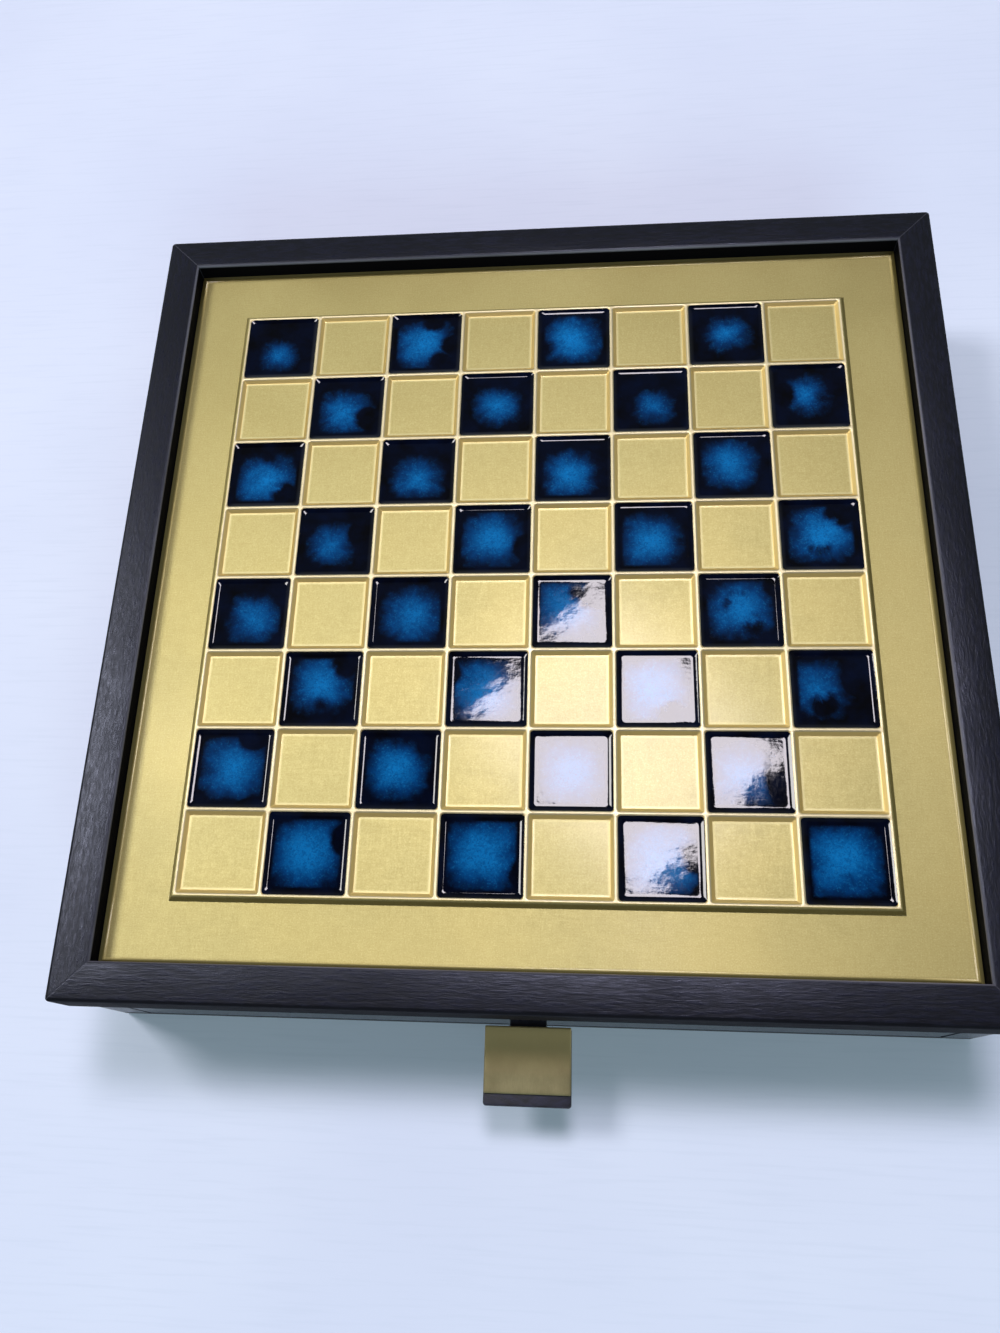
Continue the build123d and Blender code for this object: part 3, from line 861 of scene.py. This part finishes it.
# ---------------------------------------------------------------- drawer padding
def padded_floor(side, degrees):
    """Velvet pad on a drawer's floor, lower along its edges and beside the ribs."""
    low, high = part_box("front_drawer_lining")
    columns, rows = 64, 36
    bm = bmesh.new()
    top = []
    for j in range(rows + 1):
        line = []
        for i in range(columns + 1):
            x = low.x + (high.x - low.x) * i / columns
            y = low.y + (high.y - low.y) * j / rows
            edge = min(x - low.x, high.x - x, y - low.y, high.y - y) / MM
            roll = PAD_ROLL * math.exp(-edge / PAD_ROLL_RUN)
            trough = (x - low.x) / (high.x - low.x) * TROUGHS
            crown = PAD_CROWN * math.cos(2 * math.pi * trough)
            ripple = PAD_RIPPLE * noise.noise(Vector((x * 90, y * 55, 3.0)))
            line.append(bm.verts.new((x, y, high.z - (PAD_LOW + roll + crown + ripple) * MM)))
        top.append(line)
    for j in range(rows):
        for i in range(columns):
            bm.faces.new((top[j][i], top[j][i + 1], top[j + 1][i + 1], top[j + 1][i]))
    # once round the face, then straight down from there
    rim = top[0][:-1] + [line[-1] for line in top[:-1]] + top[-1][:0:-1] + [line[0] for line in top[:0:-1]]
    foot = [bm.verts.new((vert.co.x, vert.co.y, low.z + PAD_SEAT * MM)) for vert in rim]
    band(bm, rim, foot)
    bm.faces.new(foot)
    turned_about(bm, degrees)
    pad = finished(side + "_floor_pad", bm, materials["velvet"], side + "_drawer", "velvet",
                   side + "_drawer_lining", sharp=60)


def padded_ribs(side, degrees):
    """Soft ribs that part the troughs, fuller in the middle than at the ends."""
    low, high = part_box("front_drawer_ribs")
    pitch = (high.x - low.x - RIB_THICK * MM) / (TROUGHS - 2)
    half = RIB_THICK / 2
    stations, around = 26, 14        # rings along a rib, and steps over it
    draw = random.Random(11)
    bm = bmesh.new()
    for rib in range(TROUGHS - 1):
        x0 = low.x + half * MM + rib * pitch
        lean, phase = draw.uniform(-0.15, 0.15), draw.uniform(0, 9)
        rings = []
        for k in range(stations + 1):
            t = k / stations
            y = low.y + (high.y - low.y) * t
            end = min(t, 1 - t) * (high.y - low.y) / MM
            full = 1 - RIB_SLIMMER * math.exp(-end / 2.0)
            sway = lean * math.sin(math.pi * t) + 0.12 * noise.noise(Vector((phase, y * 40, 0)))
            swell = 1 + 0.06 * noise.noise(Vector((phase, y * 70, 5)))
            points = []
            for m in range(around + 1):
                angle = math.pi * m / around
                bulge = math.copysign(abs(math.cos(angle)) ** 0.5, math.cos(angle))
                across = half * full * min(swell, 1.0) * bulge
                up = math.sin(angle) ** 0.35 if 0 < m < around else 0.0
                sag = 0.35 * (1 - full) + 0.12 * abs(noise.noise(Vector((phase, y * 50, 9))))
                z = low.z + (high.z - low.z - sag * MM) * up
                points.append(Vector((x0 + (across * 0.94 + sway * up * 0.6) * MM, y, z)))
            rings.append(points)
        loft(bm, rings, close_start=True, close_end=True)
    turned_about(bm, degrees)
    ribs = finished(side + "_velvet_ribs", bm, materials["velvet"], side + "_drawer", "velvet",
                    side + "_drawer_ribs", sharp=70)


board_plate()
enamel_coats()
frame_bar("front", 0, materials["leather_x"])
frame_bar("right", 90, materials["leather_y"])
frame_bar("back", 180, materials["leather_x"])
frame_bar("left", 270, materials["leather_y"])
for side, degrees in (("front", 0), ("back", 180)):
    pull(side, degrees)
    padded_floor(side, degrees)
    padded_ribs(side, degrees)


# ---------------------------------------------------------------- floor
BACKDROP = rgb(216, 222, 244)
FLOOR_HALF = 6.0             # metres, as are the distances below
FLOOR_ENDS = (0.45, 1.2)     # where it starts to fade into the backdrop, and where it is gone


def pale_floor():
    """A plain pale floor, which fades into the backdrop away from the box."""
    s = Surface("pale_floor", Roughness=0.5, Specular_IOR_Level=0.3)
    cloud = s.noise(160, detail=3)
    fibre = s.noise(1.5, s.stretched(0.05, 1, 1), detail=3)
    tone = s.mix(s.range(cloud, 0.35, 0.65), rgb(213, 220, 243), rgb(219, 226, 247))
    tone = s.mix(s.range(fibre, 0.5, 0.7, 0, 0.25), tone, rgb(202, 211, 234))
    s.finish(tone)
    away = s.node("VectorMath", {0: s.place}, operation="LENGTH").outputs["Value"]
    seen = s.node("LightPath").outputs["Is Camera Ray"]
    far = s.math("MULTIPLY", s.range(away, *FLOOR_ENDS, smooth=True), seen)
    glow = s.node("Emission", {"Color": BACKDROP, "Strength": 1.0})
    both = s.node("MixShader", {"Fac": far, 1: s.shader.outputs[0], 2: glow.outputs[0]})
    s.tree.links.new(both.outputs[0], s.tree.nodes["Material Output"].inputs["Surface"])
    mesh = bpy.data.meshes.new("floor")
    corners = [(x * FLOOR_HALF, y * FLOOR_HALF, 0) for x, y in ((-1, -1), (1, -1), (1, 1), (-1, 1))]
    mesh.from_pydata(corners, [], [(0, 1, 2, 3)])
    mesh.materials.append(s.material)
    floor = bpy.data.objects.new("floor", mesh)
    floor.location.z = -0.05 * MM
    collection.objects.link(floor)


pale_floor()


# ---------------------------------------------------------------- lights
def panel(name, place, aim, width, height, watts, colour, spin=0.0):
    """A soft rectangular light at place, facing aim, turned by spin degrees."""
    light = bpy.data.lights.new(name, "AREA")
    light.shape = "RECTANGLE"
    light.size, light.size_y = width, height
    light.energy = watts
    light.color = colour
    lamp = bpy.data.objects.new(name, light)
    towards = Vector(aim) - Vector(place)
    lamp.rotation_mode = "QUATERNION"
    turn = Euler((0, 0, math.radians(spin))).to_quaternion()
    lamp.rotation_quaternion = towards.to_track_quat("-Z", "Y") @ turn
    lamp.location = place
    collection.objects.link(lamp)
    return lamp


# The glare on the glaze: above the board and a little behind it.
panel("glare", (0.063, 0.404, 1.47), (0.0285, -0.0572, 0.0537), 0.404, 0.314, 10.0,
      (1.0, 0.93, 1.0), spin=-39.6)
# From behind on the left: the shadows, and the light on the left bar.
panel("key", (-1.40, 0.58, 2.2), (0, 0, 0), 0.6, 0.6, 27.0, (1.0, 0.97, 0.96))
# Soft light from the front, for the shadow there.
fill = panel("fill", (0.3, -2.0, 1.2), (0, 0, 0), 1.4, 0.9, 19.5, (0.72, 1.0, 0.92))
fill.visible_glossy = False

# Strength of the surroundings against the height looked at, 0 level and 1 straight up.
AROUND_LEVELS = ((0.0, 0.62), (0.1, 0.62), (0.42, 0.46), (0.76, 0.11), (0.9, 0.13), (0.95, 0.05),
                 (1.0, 0.04))


def surroundings():
    """A world that is lighter at the sides than overhead, and plain where the camera sees it."""
    world = bpy.data.worlds.new("studio")
    world.use_nodes = True
    bpy.context.scene.world = world
    tree = world.node_tree
    heading = tree.nodes.new("ShaderNodeTexCoord").outputs["Generated"]
    parts = tree.nodes.new("ShaderNodeSeparateXYZ")
    tree.links.new(heading, parts.inputs[0])
    level = tree.nodes.new("ShaderNodeFloatCurve")
    points = level.mapping.curves[0].points
    for place in AROUND_LEVELS[1:-1]:
        points.new(*place)
    for point, place in zip(points, AROUND_LEVELS):
        point.location = place
        point.handle_type = "VECTOR"
    level.mapping.update()
    tree.links.new(parts.outputs["Z"], level.inputs["Value"])
    around = tree.nodes["Background"]
    around.inputs["Color"].default_value = (0.86, 0.95, 1.0, 1)
    tree.links.new(level.outputs[0], around.inputs["Strength"])
    behind = tree.nodes.new("ShaderNodeBackground")
    behind.inputs["Color"].default_value = BACKDROP
    seen = tree.nodes.new("ShaderNodeLightPath")
    both = tree.nodes.new("ShaderNodeMixShader")
    tree.links.new(seen.outputs["Is Camera Ray"], both.inputs["Fac"])
    tree.links.new(around.outputs[0], both.inputs[1])
    tree.links.new(behind.outputs[0], both.inputs[2])
    tree.links.new(both.outputs[0], tree.nodes["World Output"].inputs["Surface"])


surroundings()


# ---------------------------------------------------------------- camera
CAMERA_PLACE = (0.0203, -0.1667, 0.3902)
CAMERA_TURN = (21.644, 5.572, 2.095)      # degrees about X, Y and Z
CAMERA_LENS = 30.42                       # millimetres, as is the next
SENSOR_WIDTH = 36
PHOTO_HEIGHT = 1333
PHOTO_SHIFT = (24.2, 3.1)                 # middle of the lens off the photo's middle, pixels

camera = bpy.data.cameras.new("camera")
camera.lens = CAMERA_LENS
camera.sensor_width = SENSOR_WIDTH
camera.shift_x = PHOTO_SHIFT[0] / PHOTO_HEIGHT
camera.shift_y = PHOTO_SHIFT[1] / PHOTO_HEIGHT
camera.clip_start = 0.01
viewer = bpy.data.objects.new("camera", camera)
viewer.location = CAMERA_PLACE
viewer.rotation_euler = Euler([math.radians(a) for a in CAMERA_TURN])
collection.objects.link(viewer)
bpy.context.scene.camera = viewer
bpy.context.scene.view_settings.view_transform = "Standard"

# ---------------------------------------------------------------- update
bpy.context.view_layer.update()
